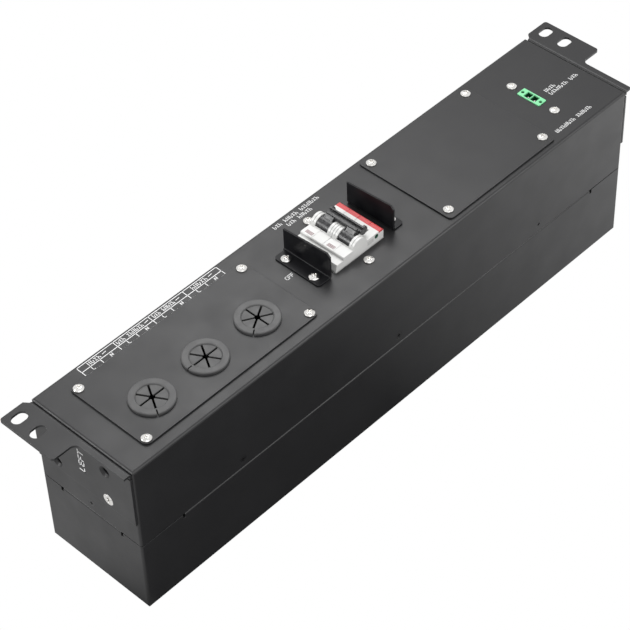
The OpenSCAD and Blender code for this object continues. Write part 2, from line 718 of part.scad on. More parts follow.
module breaker_bracket_screws() color(silver) {
    at_panel_screws(bracket_screws_at) translate([0, 0, panel_z]) pan_screw(6);
    for (y = rail_screw_y) translate([rail_x, y, rail_z - rail_depth + rail_sheet]) {
        cylinder(h = 2.4, r = 4);
        translate([0, 0, -4.5]) cylinder(h = 4.6, r = rail_screw_r);
    }
}

// ---- toggle guards -------------------------------------------------------------------

// Folded guard: wall with a sloping top and a clipped front corner, and a foot with two screws
module guard(wall_x, side, foot) color(black) {
    outer = wall_x + side * sheet;
    fold_x = wall_x + side * guard_fold_r;
    back = guard_front + guard_length;
    top = panel_z + guard_height;
    back_top = panel_z + guard_back_height;
    clip_top = top - (top - back_top) * guard_corner / guard_length;
    difference() {
        union() {
            translate([min(wall_x, outer), 0, 0]) rotate([90, 0, 90]) linear_extrude(sheet)
                polygon([[guard_front, panel_z + 1.5], [guard_front, top - guard_corner],
                    [guard_front + guard_corner, clip_top], [back, back_top], [back, panel_z + 1.5]]);
            // bend between wall and foot
            intersection() {
                translate([fold_x, back, panel_z + guard_fold_r]) rotate([90, 0, 0]) difference() {
                    cylinder(h = guard_length, r = guard_fold_r);
                    translate([0, 0, -1]) cylinder(h = guard_length + 2, r = guard_fold_r - sheet);
                }
                block([min(fold_x, wall_x), guard_front, panel_z],
                    [max(fold_x, wall_x), back, panel_z + guard_fold_r]);
            }
            plate([min(fold_x, outer + side * foot), guard_front],
                [max(fold_x, outer + side * foot), back - 1], 2.5, panel_z, sheet);
            block([min(fold_x, fold_x + side * 3), guard_front, panel_z],
                [max(fold_x, fold_x + side * 3), back - 1, panel_z + sheet]);
        }
        for (p = guard_screws_at) drill(p, pan_hole_r, panel_z - 1, panel_z + 3);
    }
}

module guard_screws() color(silver)
    at_panel_screws(guard_screws_at) translate([0, 0, panel_z + sheet]) pan_screw(5.5);

// ---- bypass switch bay ---------------------------------------------------------------

module switch_cover_plate() color(black) difference() {
    plate(cover_low, cover_high, 3, panel_z, sheet);
    for (p = cover_screws) drill(p, pan_hole_r, panel_z - 1, plate_top + 1);
}

module cover_plate_screws() color(silver)
    at_panel_screws(cover_screws) translate([0, 0, plate_top]) pan_screw(6.5);

// Folded tray under the panel window; its floor carries the switch
module switch_bay() color(silver) {
    wall = bay_half.x + 0.5;
    reach = 36;
    difference() {
        union() {
            for (s = [-1, 1]) translate([cover_mid.x, cover_mid.y, 0]) {
                block([min(s * wall, s * 49.5), -reach, under_z - sheet],
                    [max(s * wall, s * 49.5), reach, under_z]);
                block([s > 0 ? wall : -wall - sheet, -reach, bay_z - sheet],
                    [s > 0 ? wall + sheet : -wall, reach, under_z]);
            }
            block([cover_mid.x - wall - sheet, cover_mid.y - reach, bay_z - sheet],
                [cover_mid.x + wall + sheet, cover_mid.y + reach, bay_z]);
        }
        for (p = cover_screws) drill(p, pan_hole_r, under_z - 3, under_z + 1);
        drill(cover_mid, 7, bay_z - 3, bay_z + 1);
        for (y = micro_screw_y) translate([cover_mid.x + wall - 1, y, micro_screw_z])
            rotate([0, 90, 0]) cylinder(h = 4, r = micro_screw_r + fit);
    }
}

// Stack of contact cells with a bore for the shaft
module switch_body() color(grey) {
    half = [switch_half, switch_half];
    neck = half - [2, 2];
    difference() {
        union() for (k = [0 : cell_count - 1]) {
            plate(cover_mid - half, cover_mid + half, 3, cells_z + k * cell_h, cell_h - cell_gap);
            plate(cover_mid - neck, cover_mid + neck,
                3, cells_z + (k + 1) * cell_h - cell_gap - e, cell_gap + e);
        }
        drill(cover_mid, shaft_r + fit, cells_z + 2, bay_z);
    }
}

// Screw terminals along both long faces of the cells
module switch_terminals() color(brass) for (k = [0 : cell_count - 1], s = [-1, 1], x = [-12, 12])
    translate([cover_mid.x + x, cover_mid.y + s * switch_half,
        cells_z + k * cell_h + 3.9])
        rotate([-s * 90, 0, 0]) difference() {
            cylinder(h = 4, r = 2.8);
            translate([0, 0, 4]) cross_recess(3);
        }

module switch_face_plate() color(silver) difference() {
    plate(cover_mid - [24, 24], cover_mid + [24, 24], 3, bay_z, 2);
    drill(cover_mid, 6, bay_z - 1, bay_z + 3);
}

module switch_shaft() color(silver)
    drill(cover_mid, shaft_r, cells_z + 2.2, bay_z + 12);

// Bar knob pressed on the shaft
module switch_knob() color(black) translate([cover_mid.x, cover_mid.y, bay_z + 2.6]) difference() {
    union() {
        cylinder(h = 5, r = knob_r);
        translate([0, 0, 4]) cylinder(h = 4, r1 = knob_r - 2, r2 = knob_r - 5);
        block([-knob_r, -4.5, 0], [knob_r, 4.5, 20]);
    }
    translate([0, 0, -1]) cylinder(h = 10.4, r = shaft_r);
    // hollow flanks of the bar, one for each side
    for (s = [-1, 1]) translate([-knob_r - 1, s * 14.5, 8.1]) rotate([0, 90, 0])
        cylinder(h = 2 * knob_r + 2, r = 6.5 + e);
}

// Cover interlock: a micro switch on the bay wall, held down by the cover plate
module interlock_switch() color(black) difference() {
    block([micro_at.x - 3.5, micro_at.y - 10, 98], [micro_at.x + 7.5, micro_at.y + 10, 112]);
    drill(micro_at, plunger_r + fit, 104, 113);
    for (y = micro_screw_y) translate([micro_at.x + 2.5, y, micro_screw_z])
        rotate([0, 90, 0]) cylinder(h = 6, r = micro_screw_r + fit);
}

module interlock_plunger() color([0.75, 0.2, 0.15]) {
    drill(micro_at, plunger_r, 106.5, panel_z - 2.4);
    translate([micro_at.x, micro_at.y, panel_z - 2.45]) intersection() {
        sphere(2.35);
        cylinder(h = 3, r = plunger_r + 0.6);
    }
}

module interlock_screws() color(silver) for (y = micro_screw_y)
    translate([cover_mid.x + bay_half.x + 0.5 + sheet, y, micro_screw_z]) rotate([0, 90, 0]) {
        cylinder(h = 1.8, r = 2.3);
        translate([0, 0, -5]) cylinder(h = 5 + e, r = micro_screw_r);
    }

// ---- control socket ------------------------------------------------------------------

module control_socket() color(green) {
    half = [socket_width, socket_length] / 2;
    top = panel_z + 0.6;
    difference() {
        plate(socket_at - half, socket_at + half, 0.4, board_z[1], top - board_z[1]);
        // two chambers and a threaded eye at each end
        for (s = [-1, 1]) {
            plate(socket_at + [-2.7, s * pin_offset - 2.3], socket_at + [2.7, s * pin_offset + 2.3],
                0.3, board_z[1] + 2, 12);
            drill(socket_at + [0, s * 7.4], 1.2, board_z[1] + 2, top + 1);
            translate([socket_at.x, socket_at.y + s * pin_offset, 0])
                square_post(pin_half + fit, board_z[1] - 1, board_z[1] + 3);
        }
    }
}

module control_pins() color(silver) for (s = [-1, 1])
    translate([socket_at.x, socket_at.y + s * pin_offset, 0])
        square_post(pin_half, board_z[0] - 2.5, panel_z - 1.4);

module control_board() color([0.05, 0.35, 0.15]) difference() {
    plate([socket_at.x - 11, socket_screws[1].y - 5], [socket_at.x + 11, socket_screws[0].y + 5],
        1, board_z[0], board_z[1] - board_z[0]);
    for (s = [-1, 1]) translate([socket_at.x, socket_at.y + s * pin_offset, 0])
        square_post(pin_half + fit, board_z[0] - 1, board_z[1] + 1);
    for (p = socket_screws) drill(p, pan_hole_r, board_z[0] - 1, board_z[1] + 1);
}

module board_standoffs() color(silver) for (p = socket_screws) difference() {
    translate([p.x, p.y, board_z[1]]) cylinder(h = under_z - board_z[1], r = 3.2, $fn = 6);
    drill(p, pan_thread_d / 2 + fit, board_z[1] - 1, under_z + 1);
}

module control_screws() color(silver) for (p = socket_screws) {
    translate([p.x, p.y, panel_z]) pan_screw(4);
    translate([p.x, p.y, board_z[0]]) mirror([0, 0, 1]) pan_screw(3.5);
}

// ---- terminals and wiring ------------------------------------------------------------

module terminal_shelf() color(silver) {
    x0 = term_x0 - 6;
    x1 = term_x0 + term_n * term_pitch + 6;
    back = y_back - sheet;
    block([x0, term_y[0] - 2, term_z[0] - sheet], [x1, back, term_z[0]]);
    block([x0, back - sheet, term_z[0] - sheet], [x1, back, term_z[0] + 18]);
}

// Barrier strip, one way for each conductor
module terminal_block() color(black) difference() {
    x1 = term_x0 + term_n * term_pitch;
    union() {
        block([term_x0, term_y[0], term_z[0]], [x1, term_y[1], term_z[0] + term_body]);
        for (i = [0:term_n]) translate([term_x0 + i * term_pitch, 0, 0])
            block([i == 0 ? 0 : -0.8, term_y[0], term_z[0]], [i == term_n ? 0 : 0.8, term_y[1], term_z[1]]);
        block([term_x0, 10.5, term_z[0]], [x1, 13.5, term_z[1]]);
    }
    for (i = [0 : term_n - 1], y = term_rows)
        drill([term_x0 + (i + 0.5) * term_pitch, y], term_screw_r + fit,
            term_z[0] + 4, term_z[0] + term_body + 1);
}

module terminal_bars() color(brass) for (i = [0 : term_n - 1], y = term_rows)
    translate([term_x0 + (i + 0.5) * term_pitch, y, term_z[0] + term_body]) difference() {
        square_post(4.5, 0, 1.2);
        drill([0, 0], term_screw_r + 0.2, -1, 2);
    }

module terminal_screws() color(silver) for (i = [0 : term_n - 1], y = term_rows)
    translate([term_x0 + (i + 0.5) * term_pitch, y, term_z[0] + term_body + 1.2]) difference() {
        union() {
            cylinder(h = 2.6, r = 3.8);
            translate([0, 0, -8]) cylinder(h = 8 + e, r = term_screw_r);
        }
        translate([0, 0, 2.6]) cross_recess(4);
    }

// Stud with a collar inside the rear cover
module earth_stud() color(silver) {
    drill(earth_at, stud_r, 0.2, 22);
    drill(earth_at, 5, sheet, sheet + 1.5);
}

module earth_nuts() color(brass) for (z = nut_z) difference() {
    translate([earth_at.x, earth_at.y, z]) cylinder(h = nut_h, r = 5.6, $fn = 6);
    drill(earth_at, stud_r + fit, z - 1, z + nut_h + 1);
}

function unit(v) = v / norm(v);

// Route with each corner replaced by a short curve
function eased(points, reach) = [
    points[0],
    for (i = [1 : len(points) - 2])
        let (p = points[i],
            a = p + reach * unit(points[i - 1] - p),
            b = p + reach * unit(points[i + 1] - p))
        for (t = [0, 0.5, 1]) (1 - t) * (1 - t) * a + 2 * t * (1 - t) * p + t * t * b,
    points[len(points) - 1]];

// Eight points around a route, for a route that never runs along Y
function ring(p, along, r) =
    let (u = unit(cross(along, [0, 1, 0])), v = cross(unit(along), u))
    [for (a = [0 : 45 : 315]) p + r * (cos(a) * u + sin(a) * v)];

// Round wire along a route
module wire(points, r) {
    route = eased(points, 5);
    last = len(route) - 1;
    rings = [for (i = [0 : last])
        each ring(route[i], route[min(i + 1, last)] - route[max(i - 1, 0)], r)];
    sides = [for (i = [0 : last - 1], k = [0 : 7])
        let (a = 8 * i + k, b = 8 * i + (k + 1) % 8) [a, a + 8, b + 8, b]];
    polyhedron(rings, concat([[for (k = [0 : 7]) k]], sides, [[for (k = [7 : -1 : 0]) 8 * last + k]]));
}

// Wires from the terminals to the breaker and on to the bypass switch
module power_wires() color(grey) {
    x1 = term_x0 + term_n * term_pitch;
    wy = [for (y = pole_y) y + pole_width / 2];
    for (k = [0, 1]) {
        // terminal strip to breaker
        wire([[x1 - (0.5 + k) * term_pitch, -1, 66 - 6 * k], [x1 + 9, wy[k], 66 - 6 * k],
            [-57, wy[k], entry_z], [pole_x[0] + 1, wy[k], entry_z]], wire_r);
        // breaker to switch
        wire([[pole_x[1] - 1, wy[k], entry_z], [43, wy[k], entry_z], [48, wy[k], 50 + 9 * k],
            [cover_mid.x - switch_half - 0.2, wy[k], 50 + 9 * k]], wire_r);
    }
    // terminal strip to switch, along the bottom of the case
    for (k = [0:3])
        let (x = term_x0 + (1.5 + k) * term_pitch, y = -26 + 6 * k)
            wire([[x, -20, 60 - 2 * k], [x, -20, 40], [x + 1.5 * term_pitch, y, 14], [50, y, 14],
                [70, y, 30], [92 + 4 * k, y, 45]], wire_r);
}

// Wire from the earth stud up to the terminal shelf
module earth_wire() color([0.55, 0.7, 0.2])
    wire([[earth_at.x, 6, 20], [-198, 14, 30], [-194, 20, 62], [-190, 20, 68]], wire_r);

// ---- assembly ------------------------------------------------------------------------

top_cover();
rear_cover();
ear_bracket();  // ear_bracket_left
mirror([1, 0, 0]) ear_bracket();  // ear_bracket_right
ear_screws();
case_screws();
press_nuts();
cable_plate();
cable_plate_screws();
grommet(0);  // grommet_1
grommet(1);  // grommet_2
grommet(2);  // grommet_3
pole_case(0, 0);  // pole_1_near_case
pole_case(0, 1);  // pole_1_far_case
pole_case(1, 0);  // pole_2_near_case
pole_case(1, 1);  // pole_2_far_case
toggle(0);  // toggle_1
toggle(1);  // toggle_2
toggle_tie_bar();
contact_arms();
fixed_contacts();
arc_chutes();
trip_coils();
breaker_clamps();
breaker_clamp_screws();
rail_clip(0);  // rail_clip_1
rail_clip(1);  // rail_clip_2
din_rail();
breaker_bracket();
breaker_bracket_screws();
guard(guard_left_x, -1, guard_left_foot);  // guard_left
guard(guard_right_x, 1, guard_right_foot);  // guard_right
guard_screws();
switch_cover_plate();
cover_plate_screws();
switch_bay();
switch_body();
switch_terminals();
switch_face_plate();
switch_shaft();
switch_knob();
interlock_switch();
interlock_plunger();
interlock_screws();
control_socket();
control_pins();
control_board();
board_standoffs();
control_screws();
terminal_shelf();
terminal_block();
terminal_bars();
terminal_screws();
earth_stud();
earth_nuts();
power_wires();
earth_wire();
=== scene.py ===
"""Looks for a two-unit rack box with a cable entry, an input breaker and a bypass switch bay."""

import json
import math

import bmesh
import bpy
from mathutils import Matrix, Vector


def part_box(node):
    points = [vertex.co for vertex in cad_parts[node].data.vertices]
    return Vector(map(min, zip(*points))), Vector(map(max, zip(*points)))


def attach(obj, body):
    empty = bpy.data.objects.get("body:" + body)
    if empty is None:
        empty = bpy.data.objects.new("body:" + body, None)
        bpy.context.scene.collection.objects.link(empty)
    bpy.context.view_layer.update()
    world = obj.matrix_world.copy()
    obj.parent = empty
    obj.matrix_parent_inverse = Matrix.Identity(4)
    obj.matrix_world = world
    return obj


MM = 0.001

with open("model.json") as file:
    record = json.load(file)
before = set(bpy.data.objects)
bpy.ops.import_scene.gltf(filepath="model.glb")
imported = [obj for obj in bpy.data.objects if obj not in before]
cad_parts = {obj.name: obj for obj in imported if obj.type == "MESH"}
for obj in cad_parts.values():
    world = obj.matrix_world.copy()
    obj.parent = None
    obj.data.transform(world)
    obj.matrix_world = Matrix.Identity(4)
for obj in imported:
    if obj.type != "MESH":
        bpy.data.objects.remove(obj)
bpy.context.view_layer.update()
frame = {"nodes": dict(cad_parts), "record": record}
nodes = frame["nodes"]
scene = bpy.context.scene


# ---- places ------------------------------------------------------------------------------

# taken from the frame
case_low, case_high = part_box("top_cover")
panel_z = case_high.z
plate_low, plate_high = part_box("cable_plate")
cover_low, cover_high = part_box("switch_cover_plate")
breaker_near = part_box("pole_1_near_case")[0].y
breaker_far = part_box("pole_2_far_case")[1].y
guard_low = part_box("guard_left")[0]
socket_low, socket_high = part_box("control_socket")

# typed here, because no box of the frame gives them
NOSE_LEFT = -28 * MM                     # left end of the breaker's nose
NOSE_TOP = panel_z + 7.2 * MM            # front face of the nose
BAND_X = (10.0 * MM, 14.5 * MM)          # red band across the right end of the nose
BAND_DEPTH = 1.2 * MM                    # how far the band reaches down from the front face
TOGGLE_X = -6.7 * MM                     # axis of the toggles
TOGGLE_Z = NOSE_TOP - 0.8 * MM
EAR_SHEET = 1.6 * MM                     # thickness of the rack ears
SOCKET_MOUTH = panel_z + 0.2 * MM        # where the painted shade in the socket's chambers begins
SOCKET_SHADE = 1.0 * MM                  # depth over which the painted shade deepens


# ---- materials ---------------------------------------------------------------------------

class Surface:
    """A material around one Principled shader, with short calls for its node patterns.

    All sizes are in metres.
    """

    def __init__(self, name, colour, roughness, **sockets):
        self.material = bpy.data.materials.new(name)
        self.material.use_nodes = True
        self.tree = self.material.node_tree
        self.shader = self.tree.nodes["Principled BSDF"]
        self.shader.inputs["Base Color"].default_value = (*colour, 1)
        self.shader.inputs["Roughness"].default_value = roughness
        for label, value in sockets.items():
            self.shader.inputs[label.replace("_", " ")].default_value = value
        self.colour = None
        self.normal = None
        self.place = self.node("ShaderNodeTexCoord").outputs["Object"]

    def node(self, kind, **settings):
        made = self.tree.nodes.new(kind)
        for label, value in settings.items():
            setattr(made, label, value)
        return made

    def join(self, output, socket):
        self.tree.links.new(output, socket)

    def axes(self):
        """The place on the object, split into its outputs X, Y and Z."""
        made = self.node("ShaderNodeSeparateXYZ")
        self.join(self.place, made.inputs["Vector"])
        return made.outputs

    def times(self, first, second):
        """The product of two values."""
        made = self.node("ShaderNodeMath", operation="MULTIPLY")
        self.join(first, made.inputs[0])
        self.join(second, made.inputs[1])
        return made.outputs["Value"]

    def noise(self, size, detail, stretch=(1, 1, 1)):
        """Noise from 0 to 1, whose lumps are about size across."""
        mapping = self.node("ShaderNodeMapping")
        mapping.inputs["Scale"].default_value = [s / size for s in stretch]
        self.join(self.place, mapping.inputs["Vector"])
        made = self.node("ShaderNodeTexNoise")
        made.inputs["Scale"].default_value = 1.0
        made.inputs["Detail"].default_value = detail
        self.join(mapping.outputs["Vector"], made.inputs["Vector"])
        return made.outputs["Fac"]

    def spread(self, value, low, high, to_low=0.0, to_high=1.0):
        """A value between low and high, carried over to another range."""
        made = self.node("ShaderNodeMapRange")
        ends = {"From Min": low, "From Max": high, "To Min": to_low, "To Max": to_high}
        for label, number in ends.items():
            made.inputs[label].default_value = number
        self.join(value, made.inputs["Value"])
        return made.outputs["Result"]

    def tint(self, factor, colour):
        """Mixes a second colour in where factor is 1."""
        made = self.node("ShaderNodeMix", data_type="RGBA")
        self.join(factor, made.inputs["Factor"])
        if self.colour is None:
            made.inputs["A"].default_value = self.shader.inputs["Base Color"].default_value
        else:
            self.join(self.colour, made.inputs["A"])
        made.inputs["B"].default_value = (*colour, 1)
        self.colour = made.outputs["Result"]
        self.join(self.colour, self.shader.inputs["Base Color"])
        return self

    def mottle(self, size, colour):
        """Patches of a second colour, about size across."""
        return self.tint(self.spread(self.noise(size, 3.0), 0.35, 0.65), colour)

    def rough(self, size, low, high, stretch=(1, 1, 1)):
        """Roughness that wanders between low and high."""
        self.join(self.spread(self.noise(size, 3.0, stretch), 0.3, 0.7, low, high),
                  self.shader.inputs["Roughness"])
        return self

    def soft_edges(self, radius):
        """Rounds sharp edges in the shading."""
        made = self.node("ShaderNodeBevel", samples=4)
        made.inputs["Radius"].default_value = radius
        self.normal = made.outputs["Normal"]
        self.join(self.normal, self.shader.inputs["Normal"])
        return self

    def painted_edge_highlight(self, radius, colour, amount):
        """A lighter second colour along the outer edges: a painted highlight where they catch the
        light.
        """
        rounded = self.node("ShaderNodeBevel", samples=4)
        rounded.inputs["Radius"].default_value = radius
        flat = self.node("ShaderNodeNewGeometry")
        product = self.node("ShaderNodeVectorMath", operation="DOT_PRODUCT")
        self.join(rounded.outputs["Normal"], product.inputs[0])
        self.join(flat.outputs["Normal"], product.inputs[1])
        return self.tint(self.spread(product.outputs["Value"], 0.99, 0.8, 0.0, amount), colour)

    def grain(self, size, depth, detail=2.0, stretch=(1, 1, 1)):
        """Fine relief, size across and depth high."""
        bump = self.node("ShaderNodeBump")
        bump.inputs["Strength"].default_value = 1.0
        bump.inputs["Distance"].default_value = depth
        self.join(self.noise(size, detail, stretch), bump.inputs["Height"])
        if self.normal is not None:
            self.join(self.normal, bump.inputs["Normal"])
        self.normal = bump.outputs["Normal"]
        self.join(self.normal, self.shader.inputs["Normal"])
        return self


def powder_coat():
    """Fine-textured black powder coat, with a painted highlight along its edges."""
    return (Surface("powder_coat", (0.010, 0.010, 0.0108), 0.40, IOR=1.44)
            .mottle(0.03, (0.0118, 0.0118, 0.0126))
            # lighter edges: a painted highlight
            .painted_edge_highlight(0.0005, (0.06, 0.06, 0.062), 0.6)
            .rough(0.02, 0.38, 0.46)
            .soft_edges(0.0004)
            .grain(0.0005, 0.000012, 3.0))


def guard_coat_painted_shade():
    """The case's black coat on the folded guards, smoother, in a deeper black that is painted
    shade, with a painted highlight along its edges.
    """
    return (Surface("guard_coat_painted_shade", (0.003, 0.003, 0.004), 0.34, IOR=1.25)
            .mottle(0.01, (0.007, 0.007, 0.008))
            # lighter edges: a painted highlight
            .painted_edge_highlight(0.0005, (0.05, 0.05, 0.052), 0.6)
            .soft_edges(0.0004)
            .grain(0.0005, 0.000008, 3.0))


def black_zinc():
    return (Surface("black_zinc", (0.02, 0.02, 0.022), 0.3, Metallic=0.6)
            .mottle(0.002, (0.03, 0.03, 0.03))
            .rough(0.001, 0.25, 0.42))


def bright_nickel():
    """Bright plated screws."""
    return (Surface("bright_nickel", (0.86, 0.85, 0.83), 0.16, Metallic=1.0)
            .mottle(0.003, (0.70, 0.69, 0.67))
            .rough(0.0015, 0.10, 0.24)
            .soft_edges(0.0003))


def zinc_sheet():
    """Zinc-plated sheet, lightly brushed."""
    return (Surface("zinc_sheet", (0.62, 0.62, 0.64), 0.35, Metallic=1.0)
            .mottle(0.012, (0.52, 0.53, 0.56))
            .rough(0.001, 0.28, 0.45, (1, 12, 12))
            .soft_edges(0.0002)
            .grain(0.0004, 0.000006, stretch=(0.1, 4, 4)))


def grommet_rubber():
    return (Surface("grommet_rubber", (0.046, 0.046, 0.047), 0.46, IOR=1.44)
            .mottle(0.008, (0.062, 0.062, 0.062))
            .rough(0.004, 0.40, 0.55)
            .soft_edges(0.0004)
            .grain(0.0006, 0.00001))


def breaker_plastic(low_x, high_x, low_z):
    """Smooth white moulding, red from low_x to high_x wherever it is above low_z."""
    made = (Surface("breaker_plastic", (0.55, 0.55, 0.54), 0.30)
            .mottle(0.01, (0.53, 0.53, 0.52)))
    place = made.axes()
    edge = 0.05 * MM
    after = made.spread(place["X"], low_x - edge, low_x + edge)
    before = made.spread(place["X"], high_x - edge, high_x + edge, 1.0, 0.0)
    above = made.spread(place["Z"], low_z - edge, low_z + edge)
    made.tint(made.times(made.times(after, before), above), (0.42, 0.012, 0.016))
    return made.soft_edges(0.0004).grain(0.0008, 0.000005)


def toggle_plastic():
    return (Surface("toggle_plastic", (0.010, 0.010, 0.011), 0.26, IOR=1.42)
            .mottle(0.0012, (0.045, 0.045, 0.047))
            .rough(0.003, 0.2, 0.34)
            .soft_edges(0.0005)
            .grain(0.0009, 0.00001))


def metal(name, colour, second, roughness):
    """Bare metal with patches and a fine drawn grain."""
    return (Surface(name, colour, roughness, Metallic=1.0)
            .mottle(0.004, second)
            .rough(0.001, roughness * 0.75, roughness * 1.3)
            .soft_edges(0.0002)
            .grain(0.0003, 0.000004))


def plastic(name, colour, second, roughness):
    """Plain moulding with a slight unevenness."""
    return (Surface(name, colour, roughness)
            .mottle(0.006, second)
            .rough(0.003, roughness * 0.8, roughness * 1.2)
            .soft_edges(0.0002)
            .grain(0.0006, 0.000006))


def socket_plastic_painted_shade(mouth_z):
    """Green moulding, darkened to deep green inside its chambers below mouth_z: painted shade."""
    made = plastic("green_moulding_painted_shade", (0.16, 0.52, 0.26), (0.18, 0.55, 0.28), 0.32)
    # painted shade, deeper the further below mouth_z
    depth = made.spread(made.axes()["Z"], mouth_z, mouth_z - SOCKET_SHADE)
    return made.tint(depth, (0.004, 0.05, 0.02))


def circuit_board():
    return (Surface("circuit_board", (0.012, 0.12, 0.045), 0.35)
            .mottle(0.0015, (0.02, 0.17, 0.07))
            .grain(0.0012, 0.00002))


def earth_insulation():
    """Green and yellow insulation."""
    made = Surface("earth_insulation", (0.10, 0.34, 0.05), 0.4)
    wave = made.node("ShaderNodeTexWave", wave_type="BANDS", bands_direction="X")
    wave.inputs["Scale"].default_value = 60
    made.join(made.place, wave.inputs["Vector"])
    made.tint(made.spread(wave.outputs["Fac"], 0.62, 0.66), (0.72, 0.60, 0.03))
    return made.grain(0.001, 0.00001)


surfaces = {
    "case_black": powder_coat(),
    "black_screw": black_zinc(),
    "bright_screw": bright_nickel(),
    "zinc_plate": zinc_sheet(),
    "grommet_rubber": grommet_rubber(),
    "breaker_white": breaker_plastic(*BAND_X, NOSE_TOP - BAND_DEPTH),
    "toggle_black": toggle_plastic(),
    "copper": metal("bare_copper", (0.72, 0.36, 0.20), (0.60, 0.28, 0.15), 0.3),
    "steel_plain": metal("plain_steel", (0.56, 0.56, 0.57), (0.48, 0.48, 0.50), 0.32),
    "brass": metal("bare_brass", (0.72, 0.54, 0.22), (0.62, 0.45, 0.18), 0.3),
    "switch_grey": plastic("grey_moulding", (0.16, 0.16, 0.17), (0.19, 0.19, 0.20), 0.5),
    "plunger_red": plastic("red_moulding", (0.55, 0.04, 0.03), (0.48, 0.03, 0.03), 0.35),
    "socket_green": socket_plastic_painted_shade(SOCKET_MOUTH),
    "pin_tin": metal("tinned_pin", (0.72, 0.72, 0.70), (0.62, 0.62, 0.60), 0.25),
    "board_green": circuit_board(),
    "wire_grey": plastic("grey_insulation", (0.08, 0.08, 0.085), (0.10, 0.10, 0.105), 0.45),
    "wire_earth": earth_insulation(),
}
slot_of = {part["node"]: part["material_slot"] for part in frame["record"]["subparts"]}
for name, node in nodes.items():
    node.data.materials.clear()
    node.data.materials.append(surfaces[slot_of[name]].material)
# the guards get a darker copy of the case's coat: the darker colour is painted shade
shaded_guard_black = guard_coat_painted_shade().material
for name in ("guard_left", "guard_right"):
    nodes[name].data.materials[0] = shaded_guard_black


def ink(name, colour):
    """Screen-printed ink, slightly thin in places. The same surface gives the painted shadow in
    the cheek grooves.
    """
    second = [c * 0.8 for c in colour]
    return Surface(name, colour, 0.5).mottle(0.0015, second).grain(0.0004, 0.000004).material


white_ink = ink("white_ink", (0.80, 0.80, 0.80))
grey_ink = ink("grey_ink", (0.30, 0.30, 0.30))
# painted shadow for the cheek grooves, made like ink
groove_shadow = ink("groove_shadow", (0.11, 0.11, 0.105))
dull_red_ink = ink("dull_red_ink", (0.20, 0.11, 0.12))
window_glass = (Surface("window_glass", (0.012, 0.05, 0.03), 0.12)
                .mottle(0.001, (0.02, 0.07, 0.045)).material)


# ---- printed marks -----------------------------------------------------------------------

INK_HEIGHT = 0.05 * MM
ON_PANEL = Matrix.Translation((0, 0, panel_z))

# in millimetres, as all the outlines are
RULE = 0.42                              # lines of the terminal table
FINE_RULE = 0.22
MARK_STROKE = 0.4                        # strokes of L, N and OFF
GREEK_STROKE = 0.38
GREEK_HEIGHT = 2.7
GREEK_WIDTH = 0.78                       # of a letter, as a share of the pitch of the letters

# Plain capitals, as strokes in a square of side 1
STROKES = {
    "L": [(0, 1, 0, 0), (0, 0, 0.62, 0)],
    "N": [(0, 0, 0, 1), (0, 1, 0.7, 0), (0.7, 0, 0.7, 1)],
    "O": [(0, 0.15, 0, 0.85), (0, 0.85, 0.2, 1), (0.2, 1, 0.55, 1), (0.55, 1, 0.75, 0.85),
          (0.75, 0.85, 0.75, 0.15), (0.75, 0.15, 0.55, 0), (0.55, 0, 0.2, 0), (0.2, 0, 0, 0.15)],
    "F": [(0, 0, 0, 1), (0, 1, 0.65, 1), (0, 0.52, 0.55, 0.52)],
    "E": [(0, 0, 0, 1), (0, 1, 0.65, 1), (0, 0.52, 0.55, 0.52), (0, 0, 0.65, 0)],
    "T": [(0.38, 0, 0.38, 1), (0, 1, 0.76, 1)],
}


def line(x0, y0, x1, y1, width):
    """The four corners of a stroke between two points, with square ends."""
    along = Vector((x1 - x0, y1 - y0)).normalized() * width / 2
    side = Vector((-along.y, along.x))
    a, b = Vector((x0, y0)) - along, Vector((x1, y1)) + along
    return [a - side, b - side, b + side, a + side]


def written(text, x, y, cap, width, pitch=0):
    """Strokes of a plain mark of height cap that starts at x, with its middle on y."""
    made = []
    for letter in text:
        made += [line(x + a * cap, y + (b - 0.5) * cap, x + c * cap, y + (d - 0.5) * cap, width)
                 for a, b, c, d in STROKES[letter]]
        x += pitch
    return made


# Stand-ins for letters, each a few strokes that spell nothing, in a square of side 1
GREEK = [
    [(0.1, 0, 0.1, 1), (0.8, 0, 0.8, 1)],
    [(0.1, 0, 0.1, 1), (0.1, 0.5, 0.8, 0.5), (0.8, 0, 0.8, 0.5)],
    [(0.1, 0.1, 0.8, 0.1), (0.1, 0.9, 0.8, 0.9), (0.45, 0.1, 0.45, 0.9)],
    [(0.1, 1, 0.1, 0), (0.1, 0, 0.8, 0), (0.8, 0, 0.8, 0.6)],
]


def greeked(x0, x1, y, words):
    """A line of text shown as meaningless strokes, between x0 and x1, with its middle on y.

    Each number in words is the count of letters in a word.
    """
    pitch = (x1 - x0) / (sum(words) + len(words) - 1)
    wide = pitch * GREEK_WIDTH
    low = y - 0.5 * GREEK_HEIGHT
    made = []
    x = x0
    for letters in words:
        for k in range(letters):
            made += [line(x + a * wide, low + b * GREEK_HEIGHT,
                          x + c * wide, low + d * GREEK_HEIGHT, GREEK_STROKE)
                     for a, b, c, d in GREEK[(k * 3 + letters) % len(GREEK)]]
            x += pitch
        x += pitch
    return made


def printed(name, outlines, material, place):
    """One thin piece from flat outlines in millimetres, as high as the ink is thick."""
    mesh = bmesh.new()
    for corners in outlines:
        low = [mesh.verts.new((c[0] * MM, c[1] * MM, 0)) for c in corners]
        high = [mesh.verts.new((c[0] * MM, c[1] * MM, INK_HEIGHT)) for c in corners]
        mesh.faces.new(low[::-1])
        mesh.faces.new(high)
        for i in range(len(corners)):
            j = (i + 1) % len(corners)
            mesh.faces.new((low[i], low[j], high[j], high[i]))
    mesh.transform(place)
    add_piece(name, mesh, material, "case")


def add_piece(name, mesh, material, body):
    """A new piece from a mesh, with its material, that rides on body."""
    data = bpy.data.meshes.new(name)
    bmesh.ops.recalc_face_normals(mesh, faces=mesh.faces)
    mesh.to_mesh(data)
    mesh.free()
    piece = bpy.data.objects.new(name, data)
    scene.collection.objects.link(piece)
    data.materials.append(material)
    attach(piece, body)


